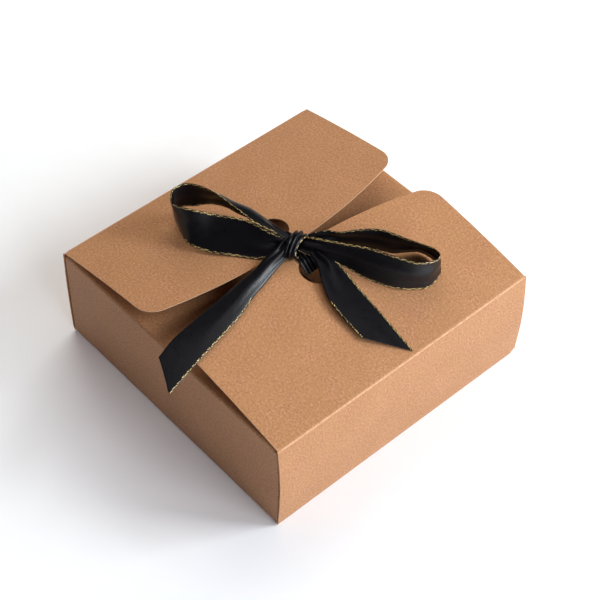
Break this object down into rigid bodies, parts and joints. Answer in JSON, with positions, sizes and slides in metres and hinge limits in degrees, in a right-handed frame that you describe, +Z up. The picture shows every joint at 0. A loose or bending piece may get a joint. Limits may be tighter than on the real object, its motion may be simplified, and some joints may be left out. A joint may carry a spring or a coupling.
{
  "type": "gift box",
  "caption": "Square kraft paperboard gift box whose two curved lids meet in the middle and are tied through round holes with a black ribbon bow.",
  "frame": {"origin": "middle of the underside of the bottom panel, on the surface the box stands on", "axes": "+Z up; +X from the left wall, which carries the left lid, to the right wall, which carries the right lid; the front wall faces -Y"},
  "size_m": [0.2, 0.225, 0.1054],
  "materials": {
    "kraft_board": "matte brown kraft paperboard with fine fibres",
    "ribbon": "black satin with a thin gold thread along both edges"
  },
  "bodies": {
    "base": {"bottom_panel": "kraft_board", "left_wall": "kraft_board", "right_wall": "kraft_board", "front_wall": "kraft_board", "back_wall": "kraft_board", "front_left_tab": "kraft_board", "front_right_tab": "kraft_board", "back_left_tab": "kraft_board", "back_right_tab": "kraft_board"},
    "left_lid": {"left_lid": "kraft_board"},
    "right_lid": {"right_lid": "kraft_board"},
    "front_flap": {"front_dust_flap": "kraft_board"},
    "back_flap": {"back_dust_flap": "kraft_board"},
    "bow": {"bow_knot": "ribbon", "left_bow_loop": "ribbon", "right_bow_loop": "ribbon", "left_ribbon_tail": "ribbon", "right_ribbon_tail": "ribbon", "left_ribbon_strand": "ribbon", "right_ribbon_strand": "ribbon"}
  },
  "joints": [
    {"name": "bow_lift", "type": "slide", "parent": "base", "child": "bow", "axis": [0, 0, 1], "range_m": [0, 0.28]},
    {"name": "left_lid_fold", "type": "hinge", "parent": "base", "child": "left_lid", "pos_m": [-0.09975, 0, 0.071], "axis": [0, -1, 0], "range_deg": [0, 140]},
    {"name": "right_lid_fold", "type": "hinge", "parent": "base", "child": "right_lid", "pos_m": [0.09975, 0, 0.071], "axis": [0, 1, 0], "range_deg": [0, 140]},
    {"name": "front_flap_fold", "type": "hinge", "parent": "base", "child": "front_flap", "pos_m": [0, -0.09945, 0.07015], "axis": [1, 0, 0], "range_deg": [0, 112]},
    {"name": "back_flap_fold", "type": "hinge", "parent": "base", "child": "back_flap", "pos_m": [0, 0.09945, 0.07015], "axis": [-1, 0, 0], "range_deg": [0, 112]}
  ],
  "couplings": [
    {"joint": "left_lid_fold", "follows": "bow_lift", "rad_per_m": 8.7266},
    {"joint": "right_lid_fold", "follows": "bow_lift", "rad_per_m": 8.7266},
    {"joint": "front_flap_fold", "follows": "bow_lift", "rad_per_m": 6.9813},
    {"joint": "back_flap_fold", "follows": "bow_lift", "rad_per_m": 6.9813}
  ]
}
